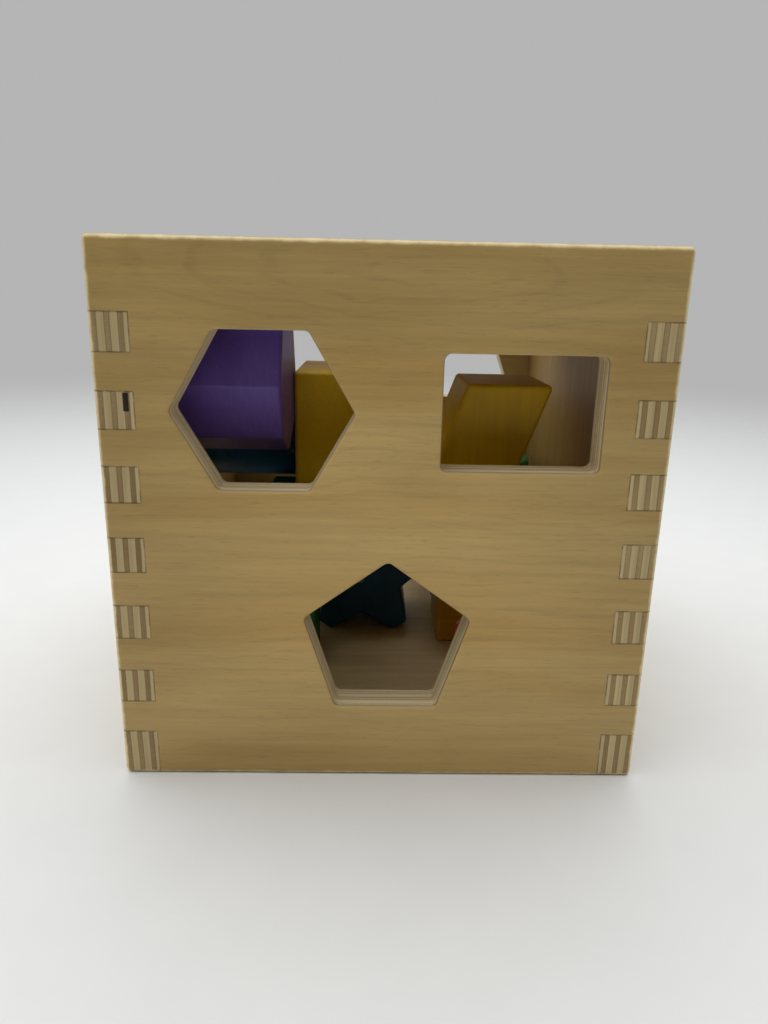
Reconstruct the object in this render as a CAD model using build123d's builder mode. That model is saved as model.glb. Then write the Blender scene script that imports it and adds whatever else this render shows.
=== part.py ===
from build123d import *
import math
import os

# Wooden shape sorter: a finger-jointed plywood cube with twelve painted blocks inside.
# Frame: origin under the middle of the cube, +Z up, the front wall at -Y. Millimetres.

# Cube
CUBE = 140.0
PLY = 9.5
EDGE_ROUND = 1.5
HALF = CUBE / 2
INNER = HALF - PLY

# Finger joints, the same at all four corners. The side walls own the bottom finger
# and the front and back walls own the top one.
FINGER_PAIRS = 6
BOTTOM_FINGER = 13.1
TOP_FINGER = 17.0
FINGER = (CUBE - BOTTOM_FINGER - TOP_FINGER) / (2 * FINGER_PAIRS)

# Lid, dropped into a rebate routed round the inside of the top edge
REBATE_WIDTH = PLY / 2
REBATE_CORNER = 3.2
LID_GAP = 0.2
LID_EDGE_ROUND = 0.8
LID_UNDERSIDE = CUBE - PLY
REBATE_HALF = INNER + REBATE_WIDTH
LID_HALF = REBATE_HALF - LID_GAP

# Blocks and the play round them in their openings
BLOCK = 30.0
CLEARANCE = 0.85
BLOCK_CORNER = 1.3
OPENING_CORNER = 1.8
BLOCK_EDGE_ROUND = 1.2
OPENING_ROUND = 0.8

# Outlines of the blocks
HEXAGON_RADIUS = 21.5
PENTAGON_RADIUS = 21.85
OCTAGON_RADIUS = 20.9
TRIANGLE_RADIUS = 23.0
CIRCLE_RADIUS = 19.5
SQUARE_SIDE = 38.0
RECTANGLE_LONG = 37.7
RECTANGLE_SHORT = 27.0
OVAL_LONG = 42.0
OVAL_SHORT = 27.0
CROSS_SPAN = 38.4
CROSS_ARM = 13.6
TRAPEZOID_LONG = 38.5
TRAPEZOID_SHORT = 25.0
TRAPEZOID_HEIGHT = 27.8
LEAN = 20.0
PARALLELOGRAM_LONG = 37.8
PARALLELOGRAM_SHORT = 23.8
STAR_TIP_RADIUS = 23.6
STAR_INNER_RADIUS = 14.4
STAR_TIP_WIDTH = 6.0

# Middles of the openings: two side by side above one, on every face that has any
UPPER_ROW = 100.0
LOWER_ROW = 40.0
BESIDE = 30.0
HEXAGON_AT = (-30.2, UPPER_ROW)
RECTANGLE_AT = (33.0, UPPER_ROW + 0.5)
PENTAGON_AT = (1.0, LOWER_ROW - 0.5)
SQUARE_AT = (-BESIDE, UPPER_ROW)
PARALLELOGRAM_AT = (BESIDE, UPPER_ROW)
STAR_AT = (0, LOWER_ROW)
OCTAGON_AT = (-31.5, 104.2)
OVAL_AT = (BESIDE, UPPER_ROW)
TRAPEZOID_AT = (0, LOWER_ROW)
TRIANGLE_AT = (-8.0, 33.0)
CIRCLE_AT = (37.5, 34.0)
CROSS_AT = (-28.0, -BESIDE)

# Layers that the lying blocks are in: on the floor, and one block above it
FLOOR_TOP = PLY
SECOND_LAYER = FLOOR_TOP + BLOCK

# Gap under the hexagon block, so that it does not drag on the triangle block
HAIR = 0.02

# Extra length of a cutter past each face of a panel
PAST = 5.0


def draw_star():
    """Five broad points with cut-off tips, one point up."""
    points = []
    for number in range(5):
        tip_angle = math.radians(90 + 72 * number)
        inner_angle = tip_angle + math.radians(36)
        across = (-math.sin(tip_angle), math.cos(tip_angle))
        for side in (-0.5, 0.5):
            x = STAR_TIP_RADIUS * math.cos(tip_angle) + side * STAR_TIP_WIDTH * across[0]
            y = STAR_TIP_RADIUS * math.sin(tip_angle) + side * STAR_TIP_WIDTH * across[1]
            points.append((x, y))
        inner_x = STAR_INNER_RADIUS * math.cos(inner_angle)
        inner_y = STAR_INNER_RADIUS * math.sin(inner_angle)
        points.append((inner_x, inner_y))
    Polygon(*points, align=None)


def draw_parallelogram():
    """Long sides level, short sides leaning to the right at the top."""
    rise = PARALLELOGRAM_SHORT * math.cos(math.radians(LEAN)) / 2
    shift = PARALLELOGRAM_SHORT * math.sin(math.radians(LEAN)) / 2
    half = PARALLELOGRAM_LONG / 2
    Polygon(
        (-half - shift, -rise),
        (half - shift, -rise),
        (half + shift, rise),
        (-half + shift, rise),
        align=None,
    )


def draw_trapezoid():
    """Long side down."""
    Polygon(
        (-TRAPEZOID_LONG / 2, -TRAPEZOID_HEIGHT / 2),
        (TRAPEZOID_LONG / 2, -TRAPEZOID_HEIGHT / 2),
        (TRAPEZOID_SHORT / 2, TRAPEZOID_HEIGHT / 2),
        (-TRAPEZOID_SHORT / 2, TRAPEZOID_HEIGHT / 2),
        align=None,
    )


def draw_outline(shape):
    """Adds the named block's sharp outline to the sketch being made."""
    if shape == "hexagon":
        RegularPolygon(HEXAGON_RADIUS, 6)
    elif shape == "pentagon":
        RegularPolygon(PENTAGON_RADIUS, 5, rotation=90)
    elif shape == "octagon":
        RegularPolygon(OCTAGON_RADIUS, 8)
    elif shape == "triangle":
        RegularPolygon(TRIANGLE_RADIUS, 3, rotation=90)
    elif shape == "circle":
        Circle(CIRCLE_RADIUS)
    elif shape == "square":
        Rectangle(SQUARE_SIDE, SQUARE_SIDE)
    elif shape == "rectangle":
        Rectangle(RECTANGLE_LONG, RECTANGLE_SHORT)
    elif shape == "oval":
        SlotOverall(OVAL_LONG, OVAL_SHORT)
    elif shape == "cross":
        Rectangle(CROSS_SPAN, CROSS_ARM)
        Rectangle(CROSS_ARM, CROSS_SPAN)
    elif shape == "trapezoid":
        draw_trapezoid()
    elif shape == "parallelogram":
        draw_parallelogram()
    elif shape == "star":
        draw_star()


def has_corners(shape):
    """The circle and the oval are round already."""
    return shape not in ("circle", "oval")


def make_opening(shape, plane):
    """Cuts the shape's opening through the panel being made.
    The plane stands on one of the panel's faces, its normal pointing through the panel."""
    with BuildSketch(plane.offset(-PAST)) as opening:
        draw_outline(shape)
        offset(amount=CLEARANCE, kind=Kind.INTERSECTION)
        if has_corners(shape):
            fillet(opening.vertices(), OPENING_CORNER)
    extrude(opening.sketch, amount=PLY + 2 * PAST, dir=plane.z_dir, mode=Mode.SUBTRACT)


def round_over(outer_face):
    """Eases the edges of all the openings in a panel's outer face."""
    edges = []
    for outline in outer_face.inner_wires():
        edges.extend(outline.edges())
    fillet(edges, OPENING_ROUND)


def make_block(shape, plane):
    """A painted block: its outline, BLOCK thick along the plane's normal, edges rounded."""
    with BuildPart() as block:
        with BuildSketch(plane) as profile:
            draw_outline(shape)
            if has_corners(shape):
                fillet(profile.vertices(), BLOCK_CORNER)
        extrude(amount=BLOCK)
        ends = block.faces().sort_by(Axis(plane.origin, plane.z_dir))
        fillet(ends[0].edges() + ends[-1].edges(), BLOCK_EDGE_ROUND)
    return block


def finger_spans(owner):
    """The heights, low and high, of one wall's fingers at a corner."""
    marks = [0.0]
    for number in range(2 * FINGER_PAIRS + 1):
        marks.append(BOTTOM_FINGER + FINGER * number)
    marks.append(CUBE)
    first = 0 if owner == "side" else 1
    spans = []
    for number in range(first, len(marks) - 1, 2):
        spans.append((marks[number], marks[number + 1]))
    return spans


def cut_corner_gaps(plane_at, owner):
    """Clears the other wall's fingers from both upright edges of the slab being made.
    plane_at gives the plane at a height, with its X axis along the slab."""
    for low, high in finger_spans(owner):
        with BuildSketch(plane_at(low)) as gaps:
            with Locations((-HALF + PLY / 2, 0), (HALF - PLY / 2, 0)):
                Rectangle(PLY, PLY)
        extrude(gaps.sketch, amount=high - low, mode=Mode.SUBTRACT)


def front_plane_at(height):
    return Plane(origin=(0, -HALF + PLY / 2, height), x_dir=(1, 0, 0), z_dir=(0, 0, 1))


def back_plane_at(height):
    return Plane(origin=(0, HALF - PLY / 2, height), x_dir=(1, 0, 0), z_dir=(0, 0, 1))


def left_plane_at(height):
    return Plane(origin=(-HALF + PLY / 2, 0, height), x_dir=(0, 1, 0), z_dir=(0, 0, 1))


def right_plane_at(height):
    return Plane(origin=(HALF - PLY / 2, 0, height), x_dir=(0, 1, 0), z_dir=(0, 0, 1))


def front_opening(x, z):
    """Outline upright as seen from the front."""
    return Plane(origin=(x, -HALF, z), x_dir=(-1, 0, 0), z_dir=(0, 1, 0))


def back_opening(x, z):
    """Outline upright as seen from behind."""
    return Plane(origin=(x, INNER, z), x_dir=(-1, 0, 0), z_dir=(0, 1, 0))


def left_opening(y, z):
    """Outline upright as seen from the left."""
    return Plane(origin=(-HALF, y, z), x_dir=(0, 1, 0), z_dir=(1, 0, 0))


def lid_opening(x, y):
    """Outline upright as seen from above, the back of the cube being up."""
    return Plane(origin=(x, y, CUBE), x_dir=(-1, 0, 0), z_dir=(0, 0, -1))


def slab(plane_at):
    """A panel as wide and high as the cube, standing on the plane at height nothing."""
    with BuildSketch(plane_at(0)) as section:
        Rectangle(CUBE, PLY)
    extrude(section.sketch, amount=CUBE)


def trim_to_cube():
    """Rounds the cube's outer edges and routes the lid's rebate."""
    add(envelope.part, mode=Mode.INTERSECT)
    add(rebate.part, mode=Mode.SUBTRACT)


# Helpers that shape the four walls together
with BuildPart() as envelope:
    with BuildSketch():
        Rectangle(CUBE, CUBE)
    extrude(amount=CUBE)
    fillet(envelope.edges(), EDGE_ROUND)

with BuildPart() as rebate:
    with BuildSketch(Plane.XY.offset(LID_UNDERSIDE)):
        RectangleRounded(2 * REBATE_HALF, 2 * REBATE_HALF, REBATE_CORNER)
    extrude(amount=PLY + PAST)

# Walls
with BuildPart() as front_wall:
    slab(front_plane_at)
    cut_corner_gaps(front_plane_at, "side")
    make_opening("hexagon", front_opening(*HEXAGON_AT))
    make_opening("rectangle", front_opening(*RECTANGLE_AT))
    make_opening("pentagon", front_opening(*PENTAGON_AT))
    round_over(front_wall.faces().sort_by(Axis.Y)[0])
    trim_to_cube()

with BuildPart() as back_wall:
    slab(back_plane_at)
    cut_corner_gaps(back_plane_at, "side")
    make_opening("square", back_opening(*SQUARE_AT))
    make_opening("parallelogram", back_opening(*PARALLELOGRAM_AT))
    make_opening("star", back_opening(*STAR_AT))
    round_over(back_wall.faces().sort_by(Axis.Y)[-1])
    trim_to_cube()

with BuildPart() as left_wall:
    slab(left_plane_at)
    cut_corner_gaps(left_plane_at, "front")
    make_opening("octagon", left_opening(*OCTAGON_AT))
    make_opening("oval", left_opening(*OVAL_AT))
    make_opening("trapezoid", left_opening(*TRAPEZOID_AT))
    round_over(left_wall.faces().sort_by(Axis.X)[0])
    trim_to_cube()

with BuildPart() as right_wall:
    slab(right_plane_at)
    cut_corner_gaps(right_plane_at, "front")
    trim_to_cube()

# Floor panel, glued in between the four walls
with BuildPart() as floor_panel:
    with BuildSketch():
        Rectangle(2 * INNER, 2 * INNER)
    extrude(amount=PLY)

# Lid, which lifts straight out of its rebate
with BuildPart() as lid:
    with BuildSketch(Plane.XY.offset(LID_UNDERSIDE)):
        RectangleRounded(2 * LID_HALF, 2 * LID_HALF, REBATE_CORNER - LID_GAP)
    extrude(amount=PLY)
    fillet(lid.faces().sort_by(Axis.Z)[-1].outer_wire().edges(), LID_EDGE_ROUND)
    make_opening("triangle", lid_opening(*TRIANGLE_AT))
    make_opening("circle", lid_opening(*CIRCLE_AT))
    make_opening("cross", lid_opening(*CROSS_AT))
    round_over(lid.faces().sort_by(Axis.Z)[-1])


def lying(x, y, z, turn):
    """A block with its thickness upright, its outline's X axis turned so many degrees from +X."""
    x_dir = (math.cos(math.radians(turn)), math.sin(math.radians(turn)), 0)
    return Plane(origin=(x, y, z), x_dir=x_dir, z_dir=(0, 0, 1))


def facing_front(x, y, z, turn):
    """A block with its thickness along Y, turned so many degrees clockwise as seen from the front."""
    x_dir = (-math.cos(math.radians(turn)), 0, math.sin(math.radians(turn)))
    return Plane(origin=(x, y, z), x_dir=x_dir, z_dir=(0, 1, 0))


def facing_side(x, y, z):
    """A block with its thickness along X."""
    return Plane(origin=(x, y, z), x_dir=(0, 1, 0), z_dir=(1, 0, 0))


# The blocks as they lie jumbled in the cube. Each plane is at the middle of the block's
# lowest, nearest or leftmost face. The octagon is in line with its opening in the left
# wall, and the circle with its opening in the lid.
places = {
    "hexagon": lying(41.4, -38.3, SECOND_LAYER + HAIR, 90),
    "rectangle": lying(39.4, 7.5, FLOOR_TOP, 0),
    "pentagon": lying(-38.3, -19.0, FLOOR_TOP, 90),
    "square": facing_side(-27.3, -1.0, 86.3),
    "parallelogram": facing_front(27.7, -45.0, 87.3, 90 + LEAN),
    "star": facing_front(-5.8, 3.8, 30.15, 0),
    "octagon": facing_side(-57.6, *OCTAGON_AT),
    "oval": facing_side(-58.6, 13.2, 81.1),
    "trapezoid": facing_front(-24.0, -27.0, 53.4, 0),
    "triangle": lying(40.0, -44.0, FLOOR_TOP, 0),
    "circle": lying(*CIRCLE_AT, SECOND_LAYER, 0),
    "cross": lying(40.9, 41.0, FLOOR_TOP, 0),
}

pieces = {
    "front_wall": front_wall,
    "back_wall": back_wall,
    "left_wall": left_wall,
    "right_wall": right_wall,
    "floor_panel": floor_panel,
    "lid": lid,
}
for shape, plane in places.items():
    pieces[shape + "_block"] = make_block(shape, plane)

os.makedirs("parts", exist_ok=True)
for name, piece in pieces.items():
    piece.part.label = name
    export_step(piece.part, "parts/" + name + ".step")
    print(name, round(piece.part.volume), "cubic mm")
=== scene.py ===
import math

import bpy
from mathutils import Matrix, Vector


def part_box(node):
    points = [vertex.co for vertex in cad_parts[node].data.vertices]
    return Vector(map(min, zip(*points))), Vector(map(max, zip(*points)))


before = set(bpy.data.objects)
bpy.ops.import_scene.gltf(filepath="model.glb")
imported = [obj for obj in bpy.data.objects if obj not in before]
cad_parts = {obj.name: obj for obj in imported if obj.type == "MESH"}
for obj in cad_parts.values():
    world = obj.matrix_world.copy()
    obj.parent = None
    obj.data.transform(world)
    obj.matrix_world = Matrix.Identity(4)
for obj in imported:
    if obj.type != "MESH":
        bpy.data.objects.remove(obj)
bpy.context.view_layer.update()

MM = 0.001

# The cube, in metres
LOW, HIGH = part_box("front_wall")
HALF = HIGH.x
TOP = HIGH.z
PLY = HIGH.y - LOW.y
X, Y, Z = 0, 1, 2


# ---------------------------------------------------------------- shader helpers

class Graph:
    """Builds one material's nodes, so that the materials below read as formulas."""

    def __init__(self, name):
        self.material = bpy.data.materials.new(name)
        self.material.use_nodes = True
        self.tree = self.material.node_tree
        self.tree.nodes.clear()
        self.output = self.tree.nodes.new("ShaderNodeOutputMaterial")
        self.coordinates = self.tree.nodes.new("ShaderNodeTexCoord")
        self.place = self.coordinates.outputs["Object"]
        self.normal = self.coordinates.outputs["Normal"]

    def put(self, socket, value):
        if isinstance(value, bpy.types.NodeSocket):
            self.tree.links.new(value, socket)
        elif value is not None:
            socket.default_value = value

    def math(self, operation, first, second=None, third=None, clamp=False):
        node = self.tree.nodes.new("ShaderNodeMath")
        node.operation = operation
        node.use_clamp = clamp
        for socket, value in zip(node.inputs, (first, second, third)):
            self.put(socket, value)
        return node.outputs[0]

    def add(self, first, second):
        return self.math("ADD", first, second)

    def times(self, first, second):
        return self.math("MULTIPLY", first, second)

    def minus(self, first, second):
        return self.math("SUBTRACT", first, second)

    def absolute(self, value):
        return self.math("ABSOLUTE", value)

    def step(self, value, low, high):
        """0 below low, 1 above high, smooth between; low above high turns it round."""
        node = self.tree.nodes.new("ShaderNodeMapRange")
        node.interpolation_type = "SMOOTHSTEP"
        self.put(node.inputs["Value"], value)
        node.inputs["From Min"].default_value = min(low, high)
        node.inputs["From Max"].default_value = max(low, high)
        node.inputs["To Min"].default_value = 0.0 if low < high else 1.0
        node.inputs["To Max"].default_value = 1.0 if low < high else 0.0
        return node.outputs["Result"]

    def axes(self, vector):
        node = self.tree.nodes.new("ShaderNodeSeparateXYZ")
        self.put(node.inputs[0], vector)
        return node.outputs[0], node.outputs[1], node.outputs[2]

    def vector(self, x, y, z):
        node = self.tree.nodes.new("ShaderNodeCombineXYZ")
        for socket, value in zip(node.inputs, (x, y, z)):
            self.put(socket, value)
        return node.outputs[0]

    def noise(self, vector, scale=1.0, detail=2.0, roughness=0.5, distortion=0.0):
        node = self.tree.nodes.new("ShaderNodeTexNoise")
        self.put(node.inputs["Vector"], vector)
        self.put(node.inputs["Scale"], scale)
        self.put(node.inputs["Detail"], detail)
        self.put(node.inputs["Roughness"], roughness)
        self.put(node.inputs["Distortion"], distortion)
        return node.outputs["Fac"]

    def mix(self, share, first, second):
        node = self.tree.nodes.new("ShaderNodeMix")
        node.data_type = "RGBA"
        self.put(node.inputs[0], share)
        self.put(node.inputs[6], first)
        self.put(node.inputs[7], second)
        return node.outputs[2]

    def shade(self, colour, factor):
        """Multiplies a colour by a number."""
        node = self.tree.nodes.new("ShaderNodeVectorMath")
        node.operation = "SCALE"
        self.put(node.inputs[0], colour)
        self.put(node.inputs["Scale"], factor)
        return node.outputs[0]

    def bump(self, height, distance, strength=1.0, onto=None):
        node = self.tree.nodes.new("ShaderNodeBump")
        self.put(node.inputs["Height"], height)
        node.inputs["Distance"].default_value = distance
        node.inputs["Strength"].default_value = strength
        self.put(node.inputs["Normal"], onto)
        return node.outputs[0]

    def finish(self, colour, roughness, normal, **constants):
        shader = self.tree.nodes.new("ShaderNodeBsdfPrincipled")
        self.put(shader.inputs["Base Color"], colour)
        self.put(shader.inputs["Roughness"], roughness)
        self.put(shader.inputs["Normal"], normal)
        for name, value in constants.items():
            shader.inputs[name.replace("_", " ")].default_value = value
        self.tree.links.new(shader.outputs[0], self.output.inputs["Surface"])
        return self.material


def rgb(red, green, blue):
    return (red, green, blue, 1.0)


# ---------------------------------------------------------------- plywood

VENEER = rgb(0.620, 0.425, 0.155)
VENEER_WARM = rgb(0.545, 0.345, 0.106)
CREAM = rgb(0.95, 0.79, 0.45)
LONG_GRAIN = rgb(0.600, 0.460, 0.230)
END_GRAIN = rgb(0.300, 0.188, 0.068)
FRESH_CUT = rgb(0.780, 0.640, 0.390)
GLUE = rgb(0.160, 0.090, 0.030)
OUTER_PLY = 1.0 * MM
CROSS_PLY = 1.25 * MM
LONG_PLY = (PLY - 2 * OUTER_PLY - 3 * CROSS_PLY) / 2
RING_PITCH = 3.6 * MM

# The finger joints, as in the CAD: six pairs between the bottom and the top finger
FINGER_PAIRS = 6
BOTTOM_FINGER = 13.1 * MM
TOP_FINGER = 17.0 * MM
FINGER = (TOP - BOTTOM_FINGER - TOP_FINGER) / (2 * FINGER_PAIRS)

# A gap in a crossing ply of the left wall: its depth, and the fingers that it lies between
VOID_DEPTH = (6.9 * MM, 8.3 * MM)
VOID_HEIGHT = (BOTTOM_FINGER + 9.48 * FINGER, BOTTOM_FINGER + 9.97 * FINGER)


def edge_nearness(g):
    """Distances from the cube's nearest edge and from its nearest outer face, in metres."""
    x, y, z = g.axes(g.place)
    from_side = g.minus(HALF, g.absolute(x))
    from_face = g.minus(HALF, g.absolute(y))
    from_end = g.math("MINIMUM", z, g.minus(TOP, z))
    nearer = g.math("MINIMUM", from_side, from_face)
    further = g.math("MAXIMUM", from_side, from_face)
    middle = g.math("MAXIMUM", nearer, g.math("MINIMUM", further, from_end))
    smallest = g.math("MINIMUM", nearer, from_end)
    return middle, smallest


def finger_lines(g, own_sign, cut):
    """Dark hairlines round the fingers. own_sign is 1 on the front and back walls, -1 on the others,
    and cut is 1 on a panel's cut edges, which at a corner are the ends of its own fingers."""
    x, y, z = g.axes(g.place)
    from_side = g.minus(HALF, g.absolute(x))
    from_face = g.minus(HALF, g.absolute(y))
    from_corner = g.math("MAXIMUM", from_side, from_face)
    count = g.math("DIVIDE", g.minus(z, BOTTOM_FINGER), FINGER)
    count = g.math("MINIMUM", g.math("MAXIMUM", count, -0.5), 2 * FINGER_PAIRS + 0.5)
    wave = g.math("SINE", g.times(count, math.pi))
    at_corner = g.step(from_corner, PLY + 0.20 * MM, PLY + 0.05 * MM)
    level = g.times(g.step(g.absolute(wave), 0.10, 0.03), at_corner)
    upright = g.step(g.absolute(g.minus(from_corner, PLY)), 0.26 * MM, 0.08 * MM)
    beside_other = g.step(g.times(wave, -own_sign), 0.0, 0.05)
    upright = g.times(upright, g.math("MAXIMUM", cut, beside_other))
    tight = g.step(g.noise(g.place, 420.0, 2.0), 0.38, 0.60)
    return g.times(g.math("MAXIMUM", level, upright), g.add(0.45, g.times(tight, 0.55)))


def ply_void(g, raw_depth, cut):
    """The gap in a ply, near the front edge only."""
    x, y, z = g.axes(g.place)
    soft = 0.15 * MM
    across = g.times(g.step(raw_depth, VOID_DEPTH[0] - soft, VOID_DEPTH[0] + soft),
                     g.step(raw_depth, VOID_DEPTH[1] + soft, VOID_DEPTH[1] - soft))
    along = g.times(g.step(z, VOID_HEIGHT[0] - soft, VOID_HEIGHT[0] + soft),
                    g.step(z, VOID_HEIGHT[1] + soft, VOID_HEIGHT[1] - soft))
    at_front = g.step(y, -HALF + PLY, -HALF + PLY / 2)
    return g.times(g.times(across, along), g.times(at_front, cut))


def ply_pattern(g, depth):
    """1 in the plies that run with the face grain and 0 in the crossing ones, and the glue lines."""
    pair = CROSS_PLY + LONG_PLY
    position = g.math("FRACT", g.math("DIVIDE", g.add(g.minus(depth, OUTER_PLY), pair), pair))
    share = CROSS_PLY / pair
    crossing = g.step(position, share + 0.02, share - 0.02)
    inside = g.times(g.step(depth, OUTER_PLY - 0.02 * MM, OUTER_PLY + 0.02 * MM),
                     g.step(depth, PLY - OUTER_PLY + 0.02 * MM, PLY - OUTER_PLY - 0.02 * MM))
    along = g.minus(1.0, g.times(crossing, inside))
    from_line = g.math("MINIMUM", position, g.minus(1.0, position))
    from_line = g.math("MINIMUM", from_line, g.absolute(g.minus(position, share)))
    glue = g.times(g.step(from_line, 0.055, 0.01), g.step(depth, 1.2 * MM, 1.6 * MM))
    return along, glue


def fibres(g, along_grain, over_grain, depth, along):
    """Fine grain stretched along each ply's own direction: of a face ply, and of the ply at hand."""
    with_face = g.vector(g.times(along_grain, 30.0), g.times(over_grain, 1500.0), g.times(depth, 900.0))
    crossed = g.vector(g.times(along_grain, 1500.0), g.times(over_grain, 30.0), g.times(depth, 900.0))
    of_face = g.noise(with_face, 1.0, 3.0, 0.6)
    of_cross = g.noise(crossed, 1.0, 3.0, 0.6)
    return of_face, g.add(g.times(along, of_face), g.times(g.minus(1.0, along), of_cross))


def cut_wood(g, along_grain, over_grain, depth, seed, end_on, in_opening, fibre, glue):
    """The cut plies, from pale long grain to brown end grain, each ply a little different."""
    ply_tone = g.noise(g.vector(g.times(depth, 700.0), g.times(along_grain, 6.0), seed), 1.0, 1.0)
    stain = g.noise(g.vector(g.times(along_grain, 28.0), g.times(over_grain, 28.0), seed + 5.0), 1.0, 2.0)
    darkness = g.times(end_on, g.add(0.10, g.times(stain, 1.30)))
    darkness = g.times(darkness, g.minus(1.0, g.times(in_opening, 0.62)))
    colour = g.mix(darkness, g.mix(in_opening, LONG_GRAIN, FRESH_CUT), END_GRAIN)
    colour = g.shade(colour, g.add(0.66, g.times(ply_tone, 0.62)))
    colour = g.shade(colour, g.add(0.78, g.times(fibre, 0.44)))
    return g.mix(g.times(glue, 0.45), colour, GLUE)


def face_veneer(g, along_grain, over_grain, seed, fibre, ring_line, from_edge, pale):
    """Broad bands, fine fibres, short dark dashes and faint growth lines, with painted shade towards the
    cube's edges and, where asked, painted light as a paler face. Also gives the dashes.
    """
    band = g.noise(g.vector(g.times(along_grain, 7.0), g.times(over_grain, 45.0), seed), 1.0, 3.0, 0.55, 0.3)
    lengthwise = g.times(along_grain, 22.0)
    streak = g.noise(g.vector(lengthwise, g.times(over_grain, 420.0), seed), 1.0, 3.0, 0.6, 0.3)
    dash = g.noise(g.vector(g.times(along_grain, 260.0), g.times(over_grain, 2600.0), seed), 1.0, 1.0)
    dash = g.step(dash, 0.60, 0.72)
    cloud = g.noise(g.vector(lengthwise, g.times(over_grain, 30.0), seed), 1.0, 2.0)
    colour = g.mix(g.step(band, 0.36, 0.72), VENEER, VENEER_WARM)
    # Painted light: a share of cream makes the face paler, for the light that falls on it.
    if pale:
        colour = g.mix(pale, colour, CREAM)
    tone = g.add(0.69, g.times(streak, 0.40))
    tone = g.add(tone, g.times(g.minus(fibre, 0.5), 0.18))
    tone = g.add(tone, g.times(cloud, 0.20))
    tone = g.minus(tone, g.times(dash, 0.09))
    tone = g.minus(tone, g.times(ring_line, 0.055))
    # Painted shade: each face is darker towards the cube's edges and lighter in its middle.
    tone = g.times(tone, g.add(0.84, g.times(g.step(from_edge, 0.0, 0.8 * HALF), 0.20)))
    return g.shade(colour, tone), dash


def painted_edge_highlight(g, from_edge, from_outside):
    """1 along the cube's outer edges, where cream is painted as a highlight of the light caught by the
    rounded edges; its width wavers.
    """
    edge_noise = g.noise(g.place, 200.0, 3.0, 0.6)
    edge_highlight = g.step(g.add(from_edge, g.times(g.minus(edge_noise, 0.5), 1.5 * MM)), 1.25 * MM, 0.35 * MM)
    return g.times(edge_highlight, g.step(from_outside, 1.2 * MM, 0.6 * MM))


def joint_darkness(g, name, thickness, raw_depth, cut):
    """The hairlines where the fingers meet and, on the left wall, the gap in a ply, painted nearly black as
    painted shade inside it.
    """
    dark = g.times(finger_lines(g, 1.0 if thickness == Y else -1.0, cut), 0.55)
    if name == "ply_left":
        # Painted shade: the gap in the ply is painted nearly black, for the shade inside it.
        dark = g.math("MAXIMUM", dark, g.times(ply_void(g, raw_depth, cut), 0.97))
    return dark


def plywood(name, thickness, outer, grain, across, seed, rings, pale=0.0):
    """Ply whose layers, grain and rings are solid, so that every cut shows its own layers.
    thickness, grain and across are axes; outer is the outer face's place on the first."""
    g = Graph(name)
    place = g.axes(g.place)
    normal = g.axes(g.normal)
    along_grain = g.add(place[grain], seed)
    over_grain = g.add(place[across], seed * 0.37)
    waver = g.noise(g.vector(g.times(along_grain, 40.0), g.times(over_grain, 40.0), seed), 1.0, 2.0)
    raw_depth = g.absolute(g.minus(place[thickness], outer))
    cut = g.step(g.absolute(normal[thickness]), 0.75, 0.45)
    depth = g.add(raw_depth, g.times(g.times(g.minus(waver, 0.5), 0.9 * MM), cut))
    along, glue = ply_pattern(g, depth)
    fibre_face, fibre = fibres(g, along_grain, over_grain, depth, along)
    end_on = g.add(g.times(along, g.absolute(normal[grain])),
                   g.times(g.minus(1.0, along), g.absolute(normal[across])))
    end_on = g.times(g.step(end_on, 0.35, 0.85), cut)
    from_edge, from_outside = edge_nearness(g)
    in_opening = g.step(from_outside, 0.9 * MM, 1.6 * MM)

    cut_colour = cut_wood(g, along_grain, over_grain, depth, seed, end_on, in_opening, fibre, glue)
    ring_line = growth_lines(g, place, grain, across, seed, rings)
    face_colour, dash = face_veneer(g, along_grain, over_grain, seed, fibre_face, ring_line, from_edge, pale)
    edge_highlight = painted_edge_highlight(g, from_edge, from_outside)
    colour = g.mix(cut, face_colour, cut_colour)
    # Painted highlight: cream along the cube's edges, for the light caught by the rounded edges.
    colour = g.mix(g.times(edge_highlight, 0.80), colour, CREAM)

    roughness = g.add(0.42, g.times(g.add(fibre, cut), 0.12))
    roughness = g.add(roughness, g.times(edge_highlight, 0.25))
    height = g.add(g.times(fibre, 0.6), g.times(dash, -0.5))
    height = g.minus(height, g.times(g.times(glue, cut), 1.5))
    if thickness != Z:
        dark = joint_darkness(g, name, thickness, raw_depth, cut)
        colour = g.shade(colour, g.minus(1.0, dark))
        height = g.minus(height, g.times(dark, 2.0))
    return g.finish(colour, roughness, g.bump(height, 0.06 * MM, 0.55), IOR=1.45)


def growth_lines(g, place, grain, across, seed, rings):
    """Faint long loops round a middle on the face, given as (along, over) in metres."""
    warp = g.noise(g.vector(g.times(place[grain], 18.0), g.times(place[across], 40.0), seed), 1.0, 3.0)
    along = g.times(g.minus(place[grain], rings[0]), 0.16)
    over = g.minus(place[across], rings[1])
    radius = g.math("SQRT", g.add(g.times(along, along), g.times(over, over)))
    radius = g.add(radius, g.times(g.minus(warp, 0.5), 0.016))
    wave = g.math("SINE", g.times(radius, 2 * math.pi / RING_PITCH))
    line = g.step(wave, 0.55, 1.0)
    patch = g.noise(g.vector(g.times(place[grain], 30.0), g.times(place[across], 50.0), seed + 3.0), 1.0, 2.0)
    return g.times(line, g.step(patch, 0.40, 0.60))


def dress(node, material):
    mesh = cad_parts[node].data
    mesh.materials.clear()
    mesh.materials.append(material)


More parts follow.
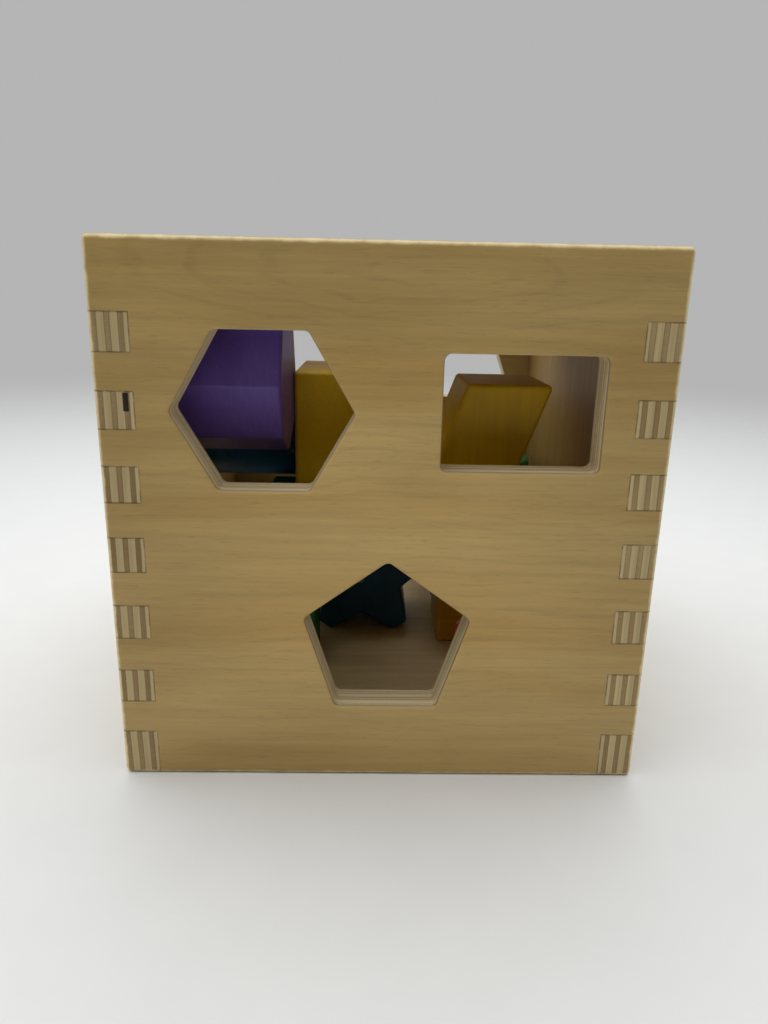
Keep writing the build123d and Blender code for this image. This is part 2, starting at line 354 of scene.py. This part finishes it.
# Material, thickness axis and outer face, grain and cross axes, seed, middle of the growth rings
dress("front_wall", plywood("ply_front", Y, -HALF, X, Z, 1.3, (0.010, 0.133)))
dress("back_wall", plywood("ply_back", Y, HALF, X, Z, 4.1, (-0.030, 0.060)))
dress("left_wall", plywood("ply_left", X, -HALF, Z, Y, 7.7, (0.060, 0.010)))
dress("right_wall", plywood("ply_right", X, HALF, Z, Y, 9.2, (0.080, -0.020)))
# The floor panel gets painted light: its veneer is made paler than the walls'.
dress("floor_panel", plywood("ply_floor", Z, 0.0, X, Y, 12.5, (0.0, 0.030), pale=0.6))
dress("lid", plywood("ply_lid", Z, TOP, X, Y, 15.4, (-0.020, -0.020)))


# ---------------------------------------------------------------- painted blocks

PAINTS = {
    "yellow": (rgb(0.780, 0.480, 0.002), rgb(0.710, 0.415, 0.001)),
    "purple": (rgb(0.165, 0.100, 0.440), rgb(0.120, 0.065, 0.340)),
    "blue": (rgb(0.012, 0.115, 0.270), rgb(0.008, 0.080, 0.200)),
    "green": (rgb(0.020, 0.240, 0.070), rgb(0.012, 0.170, 0.050)),
    "red": (rgb(0.560, 0.028, 0.020), rgb(0.430, 0.016, 0.014)),
}
BARE_WOOD = rgb(0.60, 0.42, 0.20)


def painted(name, paint, low, high, grain, seed):
    """Satin paint over solid wood: the grain shows through as ridges, and edges are worn."""
    g = Graph(name)
    main, deep = PAINTS[paint]
    place = list(g.axes(g.place))
    stretch = [900.0, 900.0, 900.0]
    stretch[grain] = 45.0
    fibres = g.noise(g.vector(*[g.times(g.add(p, seed), s) for p, s in zip(place, stretch)]), 1.0, 3.0, 0.55)
    orange_peel = g.noise(g.place, 900.0, 2.0, 0.5)
    cloud = g.noise(g.vector(*[g.add(p, seed) for p in place]), 55.0, 3.0)
    gaps = [g.math("MINIMUM", g.minus(p, a), g.minus(b, p)) for p, a, b in zip(place, low, high)]
    nearer = g.math("MINIMUM", gaps[0], gaps[1])
    further = g.math("MAXIMUM", gaps[0], gaps[1])
    from_edge = g.math("MAXIMUM", nearer, g.math("MINIMUM", further, gaps[2]))
    edge_noise = g.noise(g.vector(*[g.add(p, seed) for p in place]), 330.0, 4.0, 0.7)
    scuffed = g.step(g.add(from_edge, g.times(g.minus(edge_noise, 0.5), 6.0 * MM)), 0.5 * MM, -0.4 * MM)
    specks = g.step(g.noise(g.place, 1400.0, 1.0), 0.74, 0.80)

    colour = g.mix(g.step(cloud, 0.35, 0.70), main, deep)
    colour = g.shade(colour, g.add(0.86, g.times(fibres, 0.28)))
    colour = g.mix(g.times(specks, 0.10), colour, CREAM)
    colour = g.mix(g.times(scuffed, 0.75), colour, BARE_WOOD)
    roughness = g.add(0.36, g.times(fibres, 0.14))
    roughness = g.add(roughness, g.times(scuffed, 0.3))
    height = g.add(fibres, g.times(orange_peel, 0.5))
    normal = g.bump(g.minus(height, g.times(scuffed, 0.6)), 0.10 * MM, 0.5)
    return g.finish(colour, roughness, normal, IOR=1.40, Coat_Weight=0.06, Coat_Roughness=0.20)


# Shape, paint and the axis of the wood's grain
BLOCKS = [
    ("hexagon", "red", X), ("rectangle", "yellow", X), ("pentagon", "green", Y),
    ("square", "yellow", Y), ("parallelogram", "yellow", Z), ("star", "blue", Z),
    ("octagon", "purple", Z), ("oval", "blue", Y), ("trapezoid", "green", X),
    ("triangle", "red", X), ("circle", "green", X), ("cross", "purple", X),
]
for number, (shape, paint, grain) in enumerate(BLOCKS):
    low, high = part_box(shape + "_block")
    material = painted("paint_" + shape, paint, low, high, grain, 0.31 * number + 0.2)
    dress(shape + "_block", material)


# ---------------------------------------------------------------- stage, light and camera

FLOOR_RADIUS = 1.1
FLOOR_FADE_FROM = 0.12
FLOOR_SIDES = 96
WORLD_GREY = rgb(0.455, 0.460, 0.455)
LIGHT_PLACE = (-0.15, 0.20, 1.30)
LIGHT_AIM = (0.0, 0.0, 0.05)
LIGHT_SIZE = (2.2, 1.8)
LIGHT_POWER = 22.0
CARD_HALF_WIDTH = 0.34
CARD_BOTTOM = 0.02
CARD_TOP = 0.48
CARD_PLACE = -0.46
CAMERA_PLACE = (-0.0044, -0.2502, 0.1281)
CAMERA_YAW = math.radians(1.28)
CAMERA_PITCH = math.radians(16.16)
CAMERA_ROLL = math.radians(1.2)
CAMERA_LENS = 26.45


def floor_material():
    """Matt white near the cube, fading away into the background."""
    g = Graph("studio_floor")
    x, y, z = g.axes(g.place)
    away = g.math("SQRT", g.add(g.times(x, x), g.times(y, y)))
    mottle = g.noise(g.place, 60.0, 3.0)
    colour = g.mix(mottle, rgb(0.78, 0.79, 0.79), rgb(0.82, 0.83, 0.83))
    material = g.finish(colour, 0.6, None)
    shader = g.output.inputs["Surface"].links[0].from_socket
    clear = g.tree.nodes.new("ShaderNodeBsdfTransparent")
    blend = g.tree.nodes.new("ShaderNodeMixShader")
    g.put(blend.inputs[0], g.math("POWER", g.step(away, FLOOR_FADE_FROM, FLOOR_RADIUS), 0.75))
    g.put(blend.inputs[1], shader)
    g.put(blend.inputs[2], clear.outputs[0])
    g.tree.links.new(blend.outputs[0], g.output.inputs["Surface"])
    return material


def make_floor():
    rim = []
    for number in range(FLOOR_SIDES):
        turn = 2 * math.pi * number / FLOOR_SIDES
        rim.append((FLOOR_RADIUS * math.cos(turn), FLOOR_RADIUS * math.sin(turn), 0))
    mesh = bpy.data.meshes.new("studio_floor")
    mesh.from_pydata(rim, [], [tuple(range(FLOOR_SIDES))])
    floor = bpy.data.objects.new("studio_floor", mesh)
    bpy.context.scene.collection.objects.link(floor)
    mesh.materials.append(floor_material())


def make_card():
    """A dark card behind the camera, which takes the place of whoever stands there."""
    corners = [
        (-CARD_HALF_WIDTH, CARD_PLACE, CARD_BOTTOM),
        (CARD_HALF_WIDTH, CARD_PLACE, CARD_BOTTOM),
        (CARD_HALF_WIDTH, CARD_PLACE, CARD_TOP),
        (-CARD_HALF_WIDTH, CARD_PLACE, CARD_TOP),
    ]
    mesh = bpy.data.meshes.new("dark_card")
    mesh.from_pydata(corners, [], [(0, 1, 2, 3)])
    card = bpy.data.objects.new("dark_card", mesh)
    bpy.context.scene.collection.objects.link(card)
    g = Graph("dark_card")
    weave = g.noise(g.place, 800.0, 2.0)
    mesh.materials.append(g.finish(g.mix(weave, rgb(0.05, 0.05, 0.05), rgb(0.07, 0.07, 0.07)), 0.9, None))
    card.visible_camera = False


def light_room():
    world = bpy.data.worlds.new("studio")
    world.use_nodes = True
    background = world.node_tree.nodes["Background"]
    background.inputs["Color"].default_value = WORLD_GREY
    background.inputs["Strength"].default_value = 1.0
    bpy.context.scene.world = world
    data = bpy.data.lights.new("overhead", "AREA")
    data.shape = "RECTANGLE"
    data.size = LIGHT_SIZE[0]
    data.size_y = LIGHT_SIZE[1]
    data.energy = LIGHT_POWER
    lamp = bpy.data.objects.new("overhead", data)
    lamp.location = LIGHT_PLACE
    lamp.rotation_euler = (Vector(LIGHT_AIM) - Vector(LIGHT_PLACE)).to_track_quat("-Z", "Y").to_euler()
    bpy.context.scene.collection.objects.link(lamp)


def set_camera():
    ahead = math.cos(CAMERA_PITCH)
    forward = Vector((math.sin(CAMERA_YAW) * ahead, math.cos(CAMERA_YAW) * ahead, -math.sin(CAMERA_PITCH)))
    level = Vector((math.cos(CAMERA_YAW), -math.sin(CAMERA_YAW), 0.0))
    upward = level.cross(forward)
    right = level * math.cos(CAMERA_ROLL) + upward * math.sin(CAMERA_ROLL)
    up = upward * math.cos(CAMERA_ROLL) - level * math.sin(CAMERA_ROLL)
    data = bpy.data.cameras.new("camera")
    data.sensor_width = 36.0
    data.sensor_fit = "AUTO"
    data.lens = CAMERA_LENS
    data.clip_start = 0.01
    camera = bpy.data.objects.new("camera", data)
    turn = Matrix((right, up, -forward)).transposed().to_4x4()
    camera.matrix_world = Matrix.Translation(CAMERA_PLACE) @ turn
    bpy.context.scene.collection.objects.link(camera)
    bpy.context.scene.camera = camera


make_floor()
make_card()
light_room()
set_camera()
bpy.context.scene.view_settings.view_transform = "Standard"
